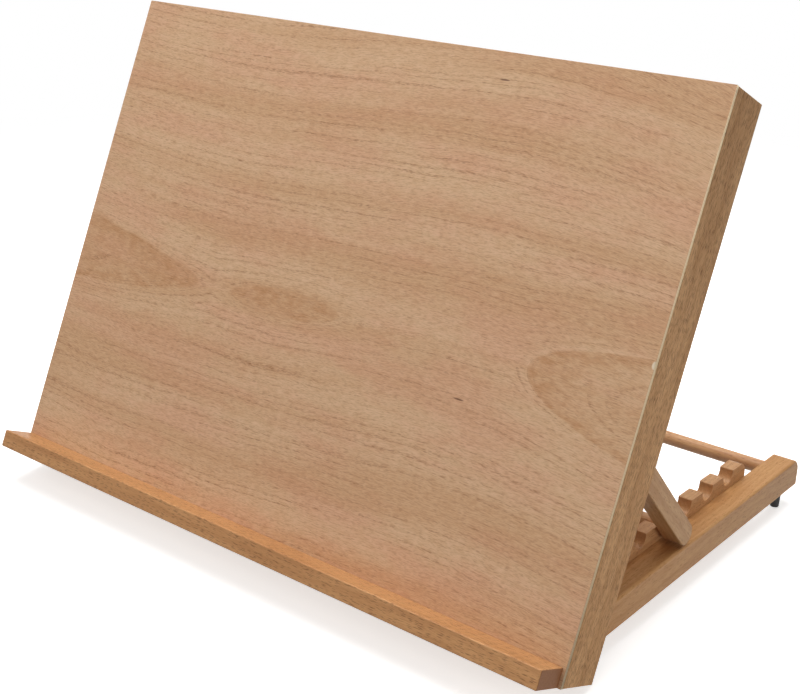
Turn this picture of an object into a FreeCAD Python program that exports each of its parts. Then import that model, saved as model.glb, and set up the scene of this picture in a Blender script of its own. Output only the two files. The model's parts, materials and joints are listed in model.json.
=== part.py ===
import FreeCAD, Part
import math
import os

from FreeCAD import Placement, Rotation, Vector

# Wooden table easel: a drawing board on a shallow frame, hinged to a low base frame.
# Two prop legs pivot in the board and share a bar, which rests in notched strips on the base.
# Millimetres. X runs along the board, Y from the front to the rear, Z up.

# ---- Board -------------------------------------------------------------------------------
board_width = 600.0
board_height = 440.0
face_thickness = 3.5            # veneered plywood face
side_rail_thickness = 12.0
top_rail_thickness = 16.5
bottom_rail_thickness = 16.5
rest_tilt = 66.4                # angle of the board above the table, degrees

# ---- Ledge along the foot of the face ----------------------------------------------------
ledge_depth = 32.0
ledge_height = 15.5
ledge_end_inset = 2.2
ledge_edge_round = 1.2

# ---- Base frame --------------------------------------------------------------------------
nest_clearance = 1.0            # each side, between the base and the board's side rails
base_rear_gap = 29.0            # finger gap to the board's top rail when folded flat
base_rail_width = 22.0
base_rail_height = 26.0
base_front_rail_depth = 20.0
rail_end_radius = 12.0          # rounded rear top corner of each side rail
rail_edge_round = 2.5
rear_dowel_radius = 6.5
rear_dowel_inset = 15.0         # dowel axis to the rear end of the rails
rear_dowel_height = 12.0        # dowel axis above the underside of the rails
rear_dowel_socket = 8.0

# ---- Notched strips on the inner faces of the base rails ---------------------------------
ratchet_thickness = 12.5
notch_mouth = 18.5
notch_depth = 11.0
notch_pitch = 39.0
notch_most = 5                  # notches where the strip has room for them
rest_notch = 4                  # the notch in use, counted from the rear
rear_tooth_length = 26.0
front_tooth_length = 30.0
tooth_edge_round = 1.0
ratchet_end_radius = 10.5
ratchet_front_gap = 6.0         # least gap to the front rail
park_gap = 51.0                 # rear of the strip to the rear dowel: the bar lies here when folded
park_clearance = 9.0            # folded bar to the rear dowel

# ---- Prop --------------------------------------------------------------------------------
leg_width = 19.0
leg_thickness = 17.0
leg_edge_round = 1.0
leg_face_gap = 0.5              # folded leg to the back of the face
fold_clearance = 1.0            # folded leg to the top of the base rails
leg_rail_clearance = 1.555      # propped leg's round end to the top of the base rails
bar_radius = 6.0
bar_socket = 6.0
bar_lift = 0.3                  # bar clear of the notch floor
bar_forward = 1.5               # bar ahead of the middle of the notch
pivot_radius = 2.0
pivot_play = 0.08               # radial, screw in leg
pivot_spacer_thickness = 1.0
pivot_spacer_radius = 7.0
pivot_bite = 9.0                # screw length in the board's side rail
pivot_head_radius = 4.5
pivot_head_height = 3.0
pivot_washer_radius = 6.0
pivot_washer_thickness = 1.0
side_play = 0.2                 # washers to leg

# ---- Butt hinges between the board and the base ------------------------------------------
hinge_spacing = 360.0           # between the two hinges' middles
hinge_length = 50.0
leaf_width = 16.0
leaf_thickness = 1.2
knuckle_radius = 2.6
knuckle_count = 5
knuckle_gap = 0.3
pin_radius = 1.2
pin_play = 0.08
hinge_clearance = 0.3           # knuckles to the wood
hinge_gap = 1.0                 # between the two rails when folded flat
leaf_corner_radius = 2.0
leaf_screw_offset = 9.0         # screw line to the pin
leaf_screw_spacing = 17.0

# ---- Feet --------------------------------------------------------------------------------
foot_height = 20.5
foot_top_radius = 5.0
foot_bottom_radius = 4.0
foot_inset = 19.0               # foot axis to the end of the rail
foot_counterbore_radius = 2.7
foot_counterbore_depth = 6.0
foot_screw_radius = 1.5
foot_screw_head_radius = 2.4
foot_screw_head_height = 1.8
foot_screw_bite = 11.0          # in the rail

# ---- Dowels and screws -------------------------------------------------------------------
fit_gap = 0.05                  # radial, glued or driven pieces
joint_dowel_radius = 3.0
board_dowel_side_bite = 8.0     # in the board's side rails
base_dowel_side_bite = 12.0     # in the base's side rails
joint_dowel_end_bite = 15.0     # in the ends of the cross rails
ledge_dowel_bite = 14.0
ledge_dowel_count = 4
ledge_dowel_span = 480.0
small_screw_radius = 1.5
small_screw_head_radius = 3.0
small_screw_head_height = 1.9
leaf_screw_length = 12.0
ratchet_screw_length = 26.0
ratchet_screw_count = 3
ratchet_screw_end = 16.0        # first and last screw to the strip's ends
ratchet_screw_height = 13.0     # above the underside of the rails
drive_width = 0.9               # arms of the cross recess
drive_depth = 1.2

# ---- Worked out from the sizes above -----------------------------------------------------
SIDES = {"left": -1, "right": 1}

# The frame is just deep enough for the folded leg and, behind it, the base rails.
frame_depth = leg_face_gap + leg_width + fold_clearance + base_rail_height
board_depth = face_thickness + frame_depth
half_width = board_width / 2
inner_half_width = half_width - side_rail_thickness
hinge_u = bottom_rail_thickness + hinge_gap / 2        # hinge line above the board's lower edge
hinge_lift = knuckle_radius + hinge_clearance          # wood surfaces above the hinge axis
hinge_z = foot_height - hinge_lift
folded_face_z = hinge_lift + board_depth               # face above the hinge axis, folded flat

rail_outer_x = inner_half_width - nest_clearance
rail_inner_x = rail_outer_x - base_rail_width
rail_mid_x = (rail_outer_x + rail_inner_x) / 2
rail_top_z = foot_height + base_rail_height
base_front_y = hinge_gap / 2
base_rear_y = board_height - hinge_u - top_rail_thickness - base_rear_gap

rear_dowel_y = base_rear_y - rear_dowel_inset
strip_rear_y = rear_dowel_y - rear_dowel_radius - park_gap
strip_inner_x = rail_inner_x - ratchet_thickness
first_notch_y = strip_rear_y - rear_tooth_length - notch_mouth / 2
strip_front_limit = base_front_y + base_front_rail_depth + ratchet_front_gap
notch_room = first_notch_y - notch_mouth / 2 - front_tooth_length - strip_front_limit
notch_count = min(notch_most, 1 + int(notch_room / notch_pitch))
notch_ys = [first_notch_y - k * notch_pitch for k in range(notch_count)]
strip_front_y = notch_ys[-1] - notch_mouth / 2 - front_tooth_length
notch_radius = notch_mouth / 2

# The bar hangs bar_lift clear inside the round floor of its notch, and the strip stands just
# high enough to hold the legs' round ends clear of the rails.
bar_swing_room = notch_radius - bar_radius - bar_lift
bar_drop = math.sqrt(bar_swing_room ** 2 - bar_forward ** 2)
bar_z = rail_top_z + leg_width / 2 + leg_rail_clearance
notch_centre_z = bar_z + bar_drop
strip_top_z = notch_centre_z - notch_radius + notch_depth
bar_y = notch_ys[min(rest_notch, notch_count) - 1] - bar_forward

# Folded flat, the leg lies level and its bar lies in the park gap. Propped, the bar lies in
# its notch. Both hold for one pivot place and one leg length.
tilt = math.radians(rest_tilt)
leg_outer_x = inner_half_width - pivot_spacer_thickness - side_play
leg_inner_x = leg_outer_x - leg_thickness
leg_layer_z = folded_face_z - face_thickness - leg_face_gap - leg_width / 2
park_y = rear_dowel_y - rear_dowel_radius - park_clearance - bar_radius
reach_y = bar_y + leg_layer_z * math.sin(tilt)
reach_z = bar_z - hinge_z - leg_layer_z * math.cos(tilt)
pivot_folded_y = (reach_y ** 2 + reach_z ** 2 - park_y ** 2) / (
    2 * (reach_y * math.cos(tilt) + reach_z * math.sin(tilt) - park_y)
)
leg_length = park_y - pivot_folded_y
pivot_y = pivot_folded_y * math.cos(tilt) - leg_layer_z * math.sin(tilt)
pivot_z = hinge_z + pivot_folded_y * math.sin(tilt) + leg_layer_z * math.cos(tilt)
leg_fall = math.degrees(math.atan2(pivot_z - bar_z, bar_y - pivot_y))
leg_swing = rest_tilt + leg_fall                        # from the notch to folded in the board


# ---- Helpers -----------------------------------------------------------------------------
def box(x0, x1, y0, y1, z0, z1):
    """Box between two corners."""
    return Part.makeBox(x1 - x0, y1 - y0, z1 - z0, Vector(x0, y0, z0))


def rod(start, direction, radius, length):
    """Cylinder from a point along a direction."""
    return Part.makeCylinder(radius, length, Vector(*start), Vector(*direction))


def mirrored(shape):
    """The same shape on the other side of the easel's middle."""
    return shape.mirror(Vector(0, 0, 0), Vector(1, 0, 0))


def on_side(shape, side):
    """A shape modelled on the right, moved to the side asked for."""
    return shape if side > 0 else mirrored(shape)


def edges_where(shape, test):
    """Edges whose two ends and middle all pass a test."""
    chosen = []
    for edge in shape.Edges:
        points = [v.Point for v in edge.Vertexes]
        points.append(edge.valueAt((edge.FirstParameter + edge.LastParameter) / 2))
        if all(test(p) for p in points):
            chosen.append(edge)
    return chosen


def near(a, b):
    return abs(a - b) < 0.001


def extrude_x(points, x0, x1):
    """Closed outline in Y and Z, given as edges, extruded from x0 to x1."""
    face = Part.Face(Part.Wire(points))
    solid = face.extrude(Vector(x1 - x0, 0, 0))
    solid.translate(Vector(x0, 0, 0))
    return solid


def line(a, b):
    return Part.LineSegment(Vector(0, *a), Vector(0, *b)).toShape()


def arc(a, middle, b):
    return Part.Arc(Vector(0, *a), Vector(0, *middle), Vector(0, *b)).toShape()


def round_corner(centre, radius, start, end):
    """Arc in Y and Z about a centre, between two angles in degrees."""
    def point(angle):
        turn = math.radians(angle)
        return (centre[0] + radius * math.cos(turn), centre[1] + radius * math.sin(turn))
    return arc(point(start), point((start + end) / 2), point(end))


def board_box(x0, x1, u0, u1, n0, n1):
    """Box on the folded board: u is up the board from its lower edge, n back from the face."""
    return box(x0, x1, u0 - hinge_u, u1 - hinge_u, folded_face_z - n1, folded_face_z - n0)


def board_point(x, u, n):
    """A point on the folded board, from the hinge axis."""
    return (x, u - hinge_u, folded_face_z - n)


def prop_up(shape):
    """Swing a board piece from folded flat to its rest angle, and set it over the hinge."""
    shape = shape.copy()
    shape.rotate(Vector(0, 0, 0), Vector(1, 0, 0), rest_tilt)
    shape.translate(Vector(0, 0, hinge_z))
    return shape


def drop_leg(shape):
    """Swing a prop piece out of the folded board, then up with the board."""
    shape = shape.copy()
    shape.rotate(Vector(0, pivot_folded_y, leg_layer_z), Vector(1, 0, 0), -leg_swing)
    return prop_up(shape)


def along(start, direction, shape):
    """Turn a shape drawn down +Z to a direction, and move its origin to a point."""
    turn = Rotation(Vector(0, 0, 1), Vector(*direction))
    shape = shape.copy()
    shape.Placement = Placement(Vector(*start), turn).multiply(shape.Placement)
    return shape


def cross_recess(reach):
    """Cross drive, cut into a head whose top is at z = 0."""
    arm = box(-reach, reach, -drive_width / 2, drive_width / 2, 0, drive_depth)
    other = box(-drive_width / 2, drive_width / 2, -reach, reach, 0, drive_depth)
    return arm.fuse(other)


def screw_outline(length, radius, head_radius, head_height, gap):
    """Countersunk screw driven along +Z with its head's top at z = 0."""
    head = Part.makeCone(head_radius + gap, radius + gap, head_height)
    shank = Part.makeCylinder(radius + gap, length)
    return head.fuse(shank).removeSplitter()


def screw(length, radius=small_screw_radius, head_radius=small_screw_head_radius,
          head_height=small_screw_head_height):
    """A countersunk screw and the hole it needs."""
    body = screw_outline(length, radius, head_radius, head_height, 0)
    return body.cut(cross_recess(head_radius * 0.55)), screw_outline(
        length, radius, head_radius, head_height, fit_gap
    )


# ---- Board pieces, modelled folded flat --------------------------------------------------
def build_board():
    face = board_box(-half_width, half_width, 0, board_height, 0, face_thickness)
    side = board_box(inner_half_width, half_width, 0, board_height, face_thickness, board_depth)
    top = board_box(-inner_half_width, inner_half_width, board_height - top_rail_thickness,
                    board_height, face_thickness, board_depth)
    bottom = board_box(-inner_half_width, inner_half_width, 0, bottom_rail_thickness,
                       face_thickness, board_depth)
    ledge_half = half_width - ledge_end_inset
    ledge = board_box(-ledge_half, ledge_half, 0, ledge_height, -ledge_depth, 0)
    front_z = folded_face_z + ledge_depth
    front_edges = edges_where(ledge, lambda p: near(p.z, front_z))
    ledge = ledge.makeFillet(ledge_edge_round, front_edges)

    # Two glued dowels at each corner of the frame.
    dowels = []
    length = board_dowel_side_bite + joint_dowel_end_bite
    start_x = inner_half_width - joint_dowel_end_bite
    for u in (bottom_rail_thickness / 2, board_height - top_rail_thickness / 2):
        for n in (face_thickness + frame_depth / 4, face_thickness + frame_depth * 3 / 4):
            place = board_point(start_x, u, n)
            hole = rod(place, (1, 0, 0), joint_dowel_radius + fit_gap, length)
            side = side.cut(hole)
            for sign in SIDES.values():
                top = top.cut(on_side(hole, sign))
                bottom = bottom.cut(on_side(hole, sign))
                dowels.append(on_side(rod(place, (1, 0, 0), joint_dowel_radius, length), sign))

    # Blind dowels hold the ledge through the face to the bottom rail.
    ledge_dowels = []
    length = 2 * ledge_dowel_bite + face_thickness
    for k in range(ledge_dowel_count):
        x = -ledge_dowel_span / 2 + k * ledge_dowel_span / (ledge_dowel_count - 1)
        place = board_point(x, ledge_height / 2, -ledge_dowel_bite)
        hole = rod(place, (0, 0, -1), joint_dowel_radius + fit_gap, length)
        ledge = ledge.cut(hole)
        face = face.cut(hole)
        bottom = bottom.cut(hole)
        ledge_dowels.append(rod(place, (0, 0, -1), joint_dowel_radius, length))

    return {
        "face_panel": face,
        "board_side_rail": side,
        "board_top_rail": top,
        "board_bottom_rail": bottom,
        "board_frame_dowels": Part.makeCompound(dowels),
        "ledge_strip": ledge,
        "ledge_dowels": Part.makeCompound(ledge_dowels),
    }


# ---- Prop pieces, modelled folded flat in the right half of the board --------------------
def build_leg():
    """Round-ended leg from the pivot to the bar, with its pivot hole and bar socket."""
    r = leg_width / 2
    z = leg_layer_z
    far_y = pivot_folded_y + leg_length
    outline = [
        line((pivot_folded_y, z - r), (far_y, z - r)),
        round_corner((far_y, z), r, -90, 90),
        line((far_y, z + r), (pivot_folded_y, z + r)),
        round_corner((pivot_folded_y, z), r, 90, 270),
    ]
    leg = extrude_x(outline, leg_inner_x, leg_outer_x)
    rims = edges_where(leg, lambda p: near(p.x, leg_inner_x))
    rims += edges_where(leg, lambda p: near(p.x, leg_outer_x))
    leg = leg.makeFillet(leg_edge_round, rims)
    pivot_hole = rod((leg_inner_x, pivot_folded_y, z), (1, 0, 0),
                     pivot_radius + pivot_play, leg_thickness)
    socket = rod((leg_inner_x, far_y, z), (1, 0, 0), bar_radius + fit_gap, bar_socket)
    return leg.cut(pivot_hole).cut(socket)


def build_bar():
    half = leg_inner_x + bar_socket
    centre = (-half, pivot_folded_y + leg_length, leg_layer_z)
    return rod(centre, (1, 0, 0), bar_radius, 2 * half)


def build_pivot():
    """Pan-head screw from inside the leg into the side rail, with its two washers."""
    y = pivot_folded_y
    z = leg_layer_z
    washer_x = leg_inner_x - side_play - pivot_washer_thickness
    washer = rod((washer_x, y, z), (1, 0, 0), pivot_washer_radius, pivot_washer_thickness)
    head = rod((washer_x - pivot_head_height, y, z), (1, 0, 0),
               pivot_head_radius, pivot_head_height)
    rim = edges_where(head, lambda p: near(p.x, washer_x - pivot_head_height))
    head = head.makeFillet(pivot_head_height * 0.45, rim)
    shank_length = inner_half_width + pivot_bite - washer_x
    shank = rod((washer_x, y, z), (1, 0, 0), pivot_radius, shank_length)
    recess = along((washer_x - pivot_head_height, y, z), (1, 0, 0),
                   cross_recess(pivot_head_radius * 0.55))
    pivot = head.fuse(shank).removeSplitter().cut(recess)
    bore = rod((washer_x, y, z), (1, 0, 0), pivot_radius + fit_gap, shank_length)
    spacer = rod((inner_half_width - pivot_spacer_thickness, y, z), (1, 0, 0),
                 pivot_spacer_radius, pivot_spacer_thickness)
    return pivot, washer.cut(bore), spacer.cut(bore), bore


# ---- Base pieces, modelled about the hinge line with the table at z = 0 ------------------
def build_base_rail():
    """Right side rail: square at the front, rounded at the rear top corner."""
    r = rail_end_radius
    outline = [
        line((base_front_y, foot_height), (base_rear_y, foot_height)),
        line((base_rear_y, foot_height), (base_rear_y, rail_top_z - r)),
        round_corner((base_rear_y - r, rail_top_z - r), r, 0, 90),
        line((base_rear_y - r, rail_top_z), (base_front_y, rail_top_z)),
        line((base_front_y, rail_top_z), (base_front_y, foot_height)),
    ]
    rail = extrude_x(outline, rail_inner_x, rail_outer_x)

    def outer_rim(p):
        return near(p.x, rail_outer_x) and (near(p.z, rail_top_z) or p.y > base_rear_y - r - 0.001)

    rims = [e for e in edges_where(rail, outer_rim) if not near(e.BoundBox.ZMax, foot_height)]
    rail = rail.makeFillet(rail_edge_round, rims)
    socket = rod((rail_inner_x, rear_dowel_y, foot_height + rear_dowel_height), (1, 0, 0),
                 rear_dowel_radius + fit_gap, rear_dowel_socket)
    return rail.cut(socket)


def build_ratchet():
    """Right notched strip: square teeth, round-floored notches and round ends."""
    r = ratchet_end_radius
    top = strip_top_z
    edges = [
        line((strip_front_y, foot_height), (strip_rear_y, foot_height)),
        line((strip_rear_y, foot_height), (strip_rear_y, top - r)),
        round_corner((strip_rear_y - r, top - r), r, 0, 90),
        line((strip_rear_y - r, top), (strip_front_y + r, top)),
        round_corner((strip_front_y + r, top - r), r, 90, 180),
        line((strip_front_y, top - r), (strip_front_y, foot_height)),
    ]
    strip = extrude_x(edges, strip_inner_x, rail_inner_x)
    for y in notch_ys:
        floor = rod((strip_inner_x, y, notch_centre_z), (1, 0, 0), notch_radius, ratchet_thickness)
        mouth = box(strip_inner_x, rail_inner_x, y - notch_radius, y + notch_radius,
                    notch_centre_z, top + 1)
        strip = strip.cut(floor.fuse(mouth))
    strip = strip.removeSplitter()

    def tooth_corner(p):
        return near(p.z, top) and any(near(abs(p.y - y), notch_radius) for y in notch_ys)

    return strip.makeFillet(tooth_edge_round, edges_where(strip, tooth_corner))


def build_foot():
    """Tapered rubber foot with a counterbore for its screw, drawn down from z = foot_height."""
    cone = Part.makeCone(foot_bottom_radius, foot_top_radius, foot_height)
    lower_rim = edges_where(cone, lambda p: near(p.z, 0))
    cone = cone.makeFillet((foot_bottom_radius - foot_counterbore_radius) * 0.3, lower_rim)
    bore = Part.makeCylinder(foot_screw_radius + fit_gap, foot_height)
    counterbore = Part.makeCylinder(foot_counterbore_radius, foot_counterbore_depth)
    return cone.cut(bore).cut(counterbore)


def build_foot_screw():
    length = foot_height - foot_counterbore_depth + foot_screw_bite
    shank = Part.makeCylinder(foot_screw_radius, length, Vector(0, 0, foot_counterbore_depth))
    head_z = foot_counterbore_depth - foot_screw_head_height
    head = Part.makeCylinder(foot_screw_head_radius, foot_screw_head_height, Vector(0, 0, head_z))
    recess = cross_recess(foot_screw_head_radius * 0.6)
    recess.translate(Vector(0, 0, head_z))
    return head.fuse(shank).removeSplitter().cut(recess)


# ---- Hinge, modelled open flat about its pin, which runs along X at the origin ------------
def knuckle_spans(first):
    """X spans of every second knuckle, starting with the one asked for."""
    pitch = hinge_length / knuckle_count
    spans = []
    for k in range(first, knuckle_count, 2):
        left = -hinge_length / 2 + k * pitch
        spans.append((left + knuckle_gap / 2, left + pitch - knuckle_gap / 2))
    return spans


def build_leaf(first):
    """Leaf lying towards +Y, under the wood, with every second knuckle."""
    low = hinge_lift - leaf_thickness
    half = hinge_length / 2
    plate = box(-half, half, 0, leaf_width, low, hinge_lift)
    corners = edges_where(plate, lambda p: near(p.y, leaf_width) and near(abs(p.x), half))
    plate = plate.makeFillet(leaf_corner_radius, corners)
    leaf = plate
    for x0, x1 in knuckle_spans(1 - first):
        reach = knuckle_radius + hinge_clearance
        leaf = leaf.cut(box(x0 - knuckle_gap, x1 + knuckle_gap, -1, reach, low - 1, hinge_lift + 1))
    for x0, x1 in knuckle_spans(first):
        leaf = leaf.fuse(rod((x0, 0, 0), (1, 0, 0), knuckle_radius, x1 - x0))
    bore = rod((-half - 1, 0, 0), (1, 0, 0), pin_radius + pin_play, hinge_length + 2)
    return leaf.removeSplitter().cut(bore)


def leaf_screw_places():
    """Screw heads on the underside of a leaf that lies towards +Y."""
    low = hinge_lift - leaf_thickness
    return [(x, leaf_screw_offset, low) for x in (-leaf_screw_spacing, 0, leaf_screw_spacing)]


# ---- Put together ------------------------------------------------------------------------
def build_all():
    parts = {}
    board = build_board()
    pivot, washer, spacer, pivot_bore = build_pivot()
    board["board_side_rail"] = board["board_side_rail"].cut(pivot_bore)

    base_rail = build_base_rail()
    front_rail = box(-rail_inner_x, rail_inner_x, base_front_y,
                     base_front_y + base_front_rail_depth, foot_height, rail_top_z)
    ratchet = build_ratchet()

    # Dowels between the front rail and the side rails.
    base_dowels = []
    length = base_dowel_side_bite + joint_dowel_end_bite
    for share in (1 / 4, 3 / 4):
        place = (rail_inner_x - joint_dowel_end_bite,
                 base_front_y + base_front_rail_depth / 2,
                 foot_height + base_rail_height * share)
        hole = rod(place, (1, 0, 0), joint_dowel_radius + fit_gap, length)
        base_rail = base_rail.cut(hole)
        for sign in SIDES.values():
            front_rail = front_rail.cut(on_side(hole, sign))
            base_dowels.append(on_side(rod(place, (1, 0, 0), joint_dowel_radius, length), sign))

    # Screws through the notched strip into the side rail.
    strip_screws = []
    first = strip_front_y + ratchet_screw_end
    step = (strip_rear_y - ratchet_screw_end - first) / (ratchet_screw_count - 1)
    solid, hole = screw(ratchet_screw_length)
    for k in range(ratchet_screw_count):
        place = (strip_inner_x, first + k * step, foot_height + ratchet_screw_height)
        driven = along(place, (1, 0, 0), hole)
        ratchet = ratchet.cut(driven)
        base_rail = base_rail.cut(driven)
        strip_screws.append(along(place, (1, 0, 0), solid))

    # Rubber feet under both ends of both side rails.
    foot = build_foot()
    foot_screw = build_foot_screw()
    foot_screws = []
    foot_ys = {"front": base_front_y + foot_inset, "rear": base_rear_y - foot_inset}
    for end, y in foot_ys.items():
        bore = rod((rail_mid_x, y, foot_height), (0, 0, 1), foot_screw_radius + fit_gap,
                   foot_screw_bite)
        base_rail = base_rail.cut(bore)
        for side, sign in SIDES.items():
            place = (sign * rail_mid_x, y, 0)
            parts["foot_" + end + "_" + side] = along(place, (0, 0, 1), foot)
            foot_screws.append(along(place, (0, 0, 1), foot_screw))

    # Hinges: the base leaf keeps the outer knuckles and the pin.
    base_leaf = build_leaf(0)
    board_leaf = build_leaf(1)
    pin = rod((-hinge_length / 2, 0, 0), (1, 0, 0), pin_radius, hinge_length)
    solid, hole = screw(leaf_screw_length)
    base_leaf_screws = []
    board_leaf_screws = []
    for place in leaf_screw_places():
        base_leaf = base_leaf.cut(along(place, (0, 0, 1), hole))
        board_leaf = board_leaf.cut(along(place, (0, 0, 1), hole))
    for side, sign in SIDES.items():
        middle = Vector(sign * hinge_spacing / 2, 0, 0)
        lifted = middle + Vector(0, 0, hinge_z)
        parts["hinge_" + side + "_base_leaf"] = base_leaf.translated(lifted)
        parts["hinge_" + side + "_pin"] = pin.translated(lifted)
        flipped = board_leaf.mirror(Vector(0, 0, 0), Vector(0, 1, 0)).translated(middle)
        parts["hinge_" + side + "_board_leaf"] = prop_up(flipped)
        for x, y, z in leaf_screw_places():
            on_base = (middle.x + x, y, z + hinge_z)
            on_board = (middle.x + x, -y, z)
            front_rail = front_rail.cut(along(on_base, (0, 0, 1), hole))
            base_leaf_screws.append(along(on_base, (0, 0, 1), solid))
            bottom = board["board_bottom_rail"].cut(along(on_board, (0, 0, 1), hole))
            board["board_bottom_rail"] = bottom
            board_leaf_screws.append(along(on_board, (0, 0, 1), solid))

    # Pieces that come in pairs.
    side_rail = board.pop("board_side_rail")
    leg = build_leg()
    for side, sign in SIDES.items():
        parts["board_side_rail_" + side] = prop_up(on_side(side_rail, sign))
        parts["pivot_screw_" + side] = prop_up(on_side(pivot, sign))
        parts["pivot_washer_" + side] = prop_up(on_side(washer, sign))
        parts["pivot_spacer_" + side] = prop_up(on_side(spacer, sign))
        parts["prop_leg_" + side] = drop_leg(on_side(leg, sign))
        parts["base_side_rail_" + side] = on_side(base_rail, sign)
        parts["ratchet_strip_" + side] = on_side(ratchet, sign)
        screws = [on_side(one, sign) for one in strip_screws]
        parts["ratchet_screws_" + side] = Part.makeCompound(screws)

    for name, shape in board.items():
        parts[name] = prop_up(shape)
    parts["prop_bar"] = drop_leg(build_bar())
    parts["base_front_rail"] = front_rail
    parts["base_frame_dowels"] = Part.makeCompound(base_dowels)
    parts["base_rear_dowel"] = rod(
        (-rail_inner_x - rear_dowel_socket, rear_dowel_y, foot_height + rear_dowel_height),
        (1, 0, 0), rear_dowel_radius, 2 * (rail_inner_x + rear_dowel_socket))
    parts["foot_screws"] = Part.makeCompound(foot_screws)
    parts["hinge_screws_base"] = Part.makeCompound(base_leaf_screws)
    parts["hinge_screws_board"] = prop_up(Part.makeCompound(board_leaf_screws))
    return parts


def main():
    """Stand the easel with the middle of its footprint at the origin, and write every piece."""
    os.makedirs("parts", exist_ok=True)
    parts = build_all()
    bounds = Part.makeCompound(list(parts.values())).optimalBoundingBox(False)
    shift = Vector(0, -(bounds.YMin + bounds.YMax) / 2, 0)
    for name in sorted(parts):
        shape = parts[name].translated(shift)
        if not shape.isValid():
            print("not valid:", name)
        shape.exportStep("parts/" + name + ".step")
    print("nodes", len(parts))
    print("hinge axis y %.3f z %.3f" % (shift.y, hinge_z))
    print("pivot axis y %.3f z %.3f" % (pivot_y + shift.y, pivot_z))
    print("bar axis y %.3f z %.3f" % (bar_y + shift.y, bar_z))
    print("leg length %.3f swing %.3f" % (leg_length, leg_swing))
    print("notches", [round(y + shift.y, 2) for y in notch_ys], "top", strip_top_z)
    print("size %.2f %.2f %.2f" % (bounds.XLength, bounds.YLength, bounds.ZMax))


main()
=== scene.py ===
# %% [markdown]
# # A tilting table easel in beech
# The easel is a plywood drawing board on a shallow frame, hinged to a low base. Two notched strips
# in the base hold a wooden bar on two swinging legs, and that bar holds the board up. The packed
# model already says where each piece is, so this lesson reads every place from it and never guesses
# one. What is made here is the look: the veneer of the face, the beech of the sticks, the softened
# edges, the metal and the rubber.

# %% Load the frame
import json
import math
import random

import bmesh
import bpy
from mathutils import Matrix, Vector


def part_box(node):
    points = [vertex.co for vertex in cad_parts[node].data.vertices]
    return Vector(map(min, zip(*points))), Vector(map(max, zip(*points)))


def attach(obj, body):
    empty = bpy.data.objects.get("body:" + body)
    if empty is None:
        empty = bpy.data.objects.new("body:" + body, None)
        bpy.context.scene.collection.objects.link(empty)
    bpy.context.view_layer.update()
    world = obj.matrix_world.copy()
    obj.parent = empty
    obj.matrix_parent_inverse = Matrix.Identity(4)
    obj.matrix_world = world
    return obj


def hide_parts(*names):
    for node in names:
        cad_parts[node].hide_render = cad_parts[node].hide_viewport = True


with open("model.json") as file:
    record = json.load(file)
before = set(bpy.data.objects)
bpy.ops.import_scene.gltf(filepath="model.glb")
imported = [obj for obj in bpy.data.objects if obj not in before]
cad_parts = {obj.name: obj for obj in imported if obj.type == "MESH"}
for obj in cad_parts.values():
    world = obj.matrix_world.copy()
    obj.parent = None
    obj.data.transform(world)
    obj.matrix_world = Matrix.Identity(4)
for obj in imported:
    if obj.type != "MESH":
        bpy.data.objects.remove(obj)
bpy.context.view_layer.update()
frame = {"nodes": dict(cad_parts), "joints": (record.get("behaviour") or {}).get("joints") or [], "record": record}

nodes = frame["nodes"]
record = frame["record"]
MM = 0.001
print("pieces in the frame:", len(nodes))

# %% [markdown]
# ## Draw the board flat, then lean it
# The board leans back on its hinges. It is far easier to draw it flat on a bench: X across, Y up
# the board and Z out of its face. So one matrix is worked out here that lays bench work onto the
# leaning board. The lean comes from the ledge, whose flat top is a mount with an axis. The place
# comes from the face panel's own corners.

# %% The board's own frame
mounts = {mount["name"]: mount for mount in record["mounts"]}
ledge_axis = Vector(mounts["ledge_top"]["axis"])
lean = math.atan2(ledge_axis.z, ledge_axis.y)
lean_turn = Matrix.Rotation(lean, 4, "X")


def corners_in(matrix, node):
    """Lowest and highest corners of a frame piece, measured in another frame."""
    back = matrix.inverted()
    points = [back @ vertex.co for vertex in nodes[node].data.vertices]
    low = Vector([min(point[i] for point in points) for i in range(3)])
    high = Vector([max(point[i] for point in points) for i in range(3)])
    return low, high


panel_low, panel_high = corners_in(lean_turn, "face_panel")
board_foot = lean_turn @ Vector((0.0, panel_low.y, panel_high.z))
on_board = Matrix.Translation(board_foot) @ lean_turn
print(f"the board leans {math.degrees(lean):.1f} degrees from flat")

# %% [markdown]
# ## A stick with softened edges
# Joiners never leave a stick dead sharp: a pass of the plane or of sandpaper takes off the arris,
# and that narrow round is what catches the light. A cube with a bevel would do it, but a loft gives
# more control. A loft is a skin over a row of sections, like planks over the ribs of a boat. The
# section comes first: the outline of a sawn stick, with its four corners rounded.

# %% The rounded section
ROUND_STEPS = 4


def rounded_section(width, height, radius):
    """Points round a rectangle with rounded corners and its middle at zero: (across, up) pairs."""
    ring = []
    for corner in range(4):
        middle_x = (width / 2 - radius) * (1 if corner in (0, 3) else -1)
        middle_y = (height / 2 - radius) * (1 if corner in (0, 1) else -1)
        for step in range(ROUND_STEPS + 1):
            angle = math.radians(90 * (corner + step / ROUND_STEPS))
            ring.append((middle_x + radius * math.cos(angle), middle_y + radius * math.sin(angle)))
    return ring


print("points round one section:", len(rounded_section(20 * MM, 10 * MM, 1 * MM)))

# %% [markdown]
# ## Where the sections stand
# The ends of a stick are eased like its edges. Sections at even steps would leave the ends blunt.
# So near each end they crowd together and draw in along a quarter of a circle, and between the ends
# they stand a thumb's width apart, which is enough where the stick is straight.

# %% Stations along a stick
STATION_SPACING = 30 * MM


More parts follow.
